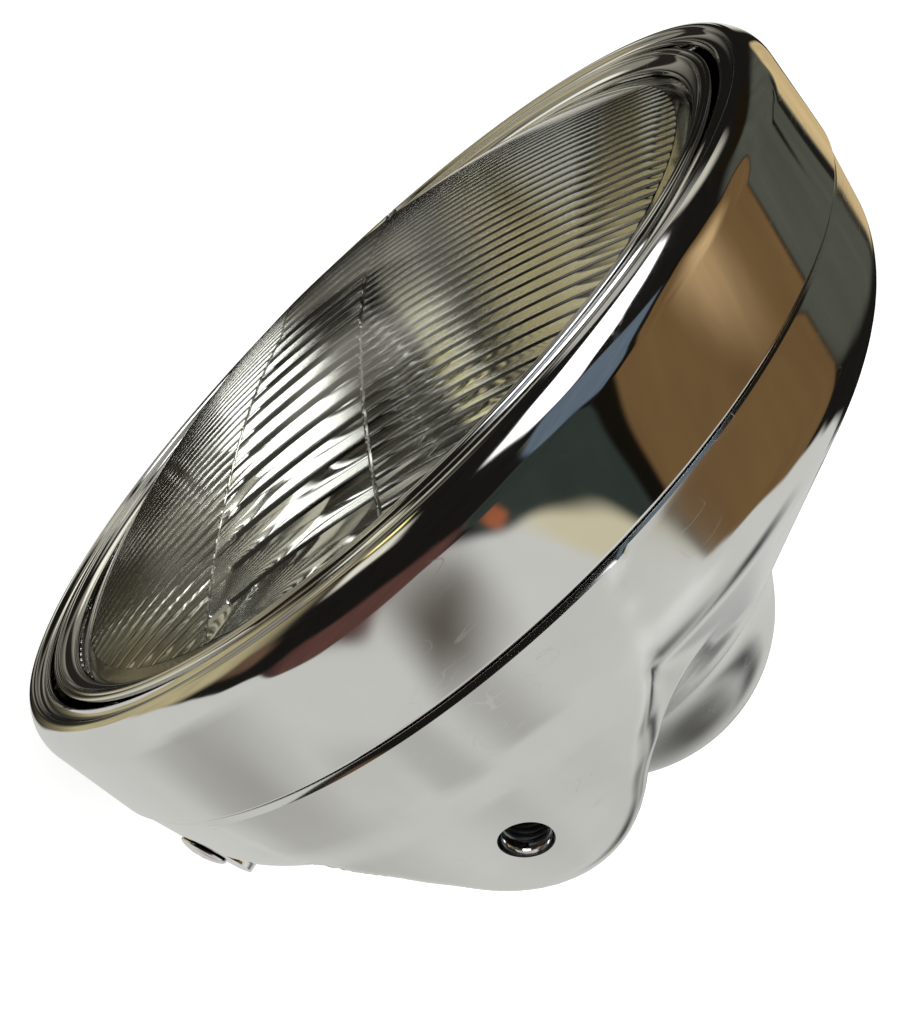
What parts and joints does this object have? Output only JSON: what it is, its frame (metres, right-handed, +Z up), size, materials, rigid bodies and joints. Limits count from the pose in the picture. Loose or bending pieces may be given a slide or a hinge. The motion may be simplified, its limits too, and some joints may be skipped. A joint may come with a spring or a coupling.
{
  "type": "motorcycle headlight",
  "caption": "Round motorcycle headlight: chromed rim, domed fluted glass, cast bucket with a threaded lug each side, and a beam unit that swivels inside the rim.",
  "frame": {"origin": "midway between the two side threads, on the lamp's axis, which is also the centre of its box", "axes": "-Y forward along the beam, +X to the rider's left along the side threads, +Z up"},
  "size_m": [0.19, 0.134, 0.19],
  "materials": {
    "polished_casting": "cast metal, polished and chromed, with faint pits",
    "chrome_plate": "bright chrome with light scratches",
    "zinc_plate": "zinc-plated steel",
    "spring_steel": "bare spring steel",
    "silvered": "silvered reflector",
    "clear_glass": "clear pressed glass, smooth outside",
    "bulb_envelope": "clear thin glass",
    "filament_wire": "dull grey wire",
    "rubber": "matt black rubber",
    "nylon": "natural nylon",
    "black_plastic": "black moulded insulator",
    "brass": "bright brass blades"
  },
  "bodies": {
    "lamp_body": {"bucket": "polished_casting", "wire_grommet": "rubber", "outer_rim": "chrome_plate", "rim_tab_left": "zinc_plate", "rim_tab_right": "zinc_plate", "rim_tab_nuts": "zinc_plate", "rim_screws": "chrome_plate", "pivot_bracket_top": "zinc_plate", "pivot_bracket_bottom": "zinc_plate", "pivot_studs": "zinc_plate", "adjuster_bracket": "zinc_plate", "adjuster_spring": "spring_steel"},
    "beam_unit": {"unit_ring": "chrome_plate", "pivot_bushes": "nylon", "lens": "clear_glass", "lens_gasket": "rubber", "lens_seal": "rubber", "reflector": "silvered", "unit_clips": "spring_steel", "clip_screws": "zinc_plate", "bulb_collar": "zinc_plate", "bulb_flange": "zinc_plate", "bulb_glass": "bulb_envelope", "bulb_shield": "spring_steel", "bulb_filaments": "filament_wire", "bulb_base": "black_plastic", "bulb_terminals": "brass", "bulb_spring": "spring_steel", "bulb_boot": "rubber", "adjuster_nut": "nylon"},
    "adjuster": {"adjuster_screw": "zinc_plate", "adjuster_clip": "spring_steel"}
  },
  "joints": [
    {"name": "beam_swivel", "type": "hinge", "parent": "lamp_body", "child": "beam_unit", "pos_m": [0, -0.04, 0], "axis": [0, 0, 1], "range_deg": [-2.5, 2.5], "deforming": ["adjuster_spring"]},
    {"name": "adjuster_turn", "type": "hinge", "parent": "lamp_body", "child": "adjuster", "pos_m": [-0.0898, -0.04, 0], "axis": [0, 1, 0], "range_deg": [-2016, 2016]}
  ],
  "couplings": [
    {"joint": "adjuster_turn", "follows": "beam_swivel", "ratio": 806.04}
  ]
}
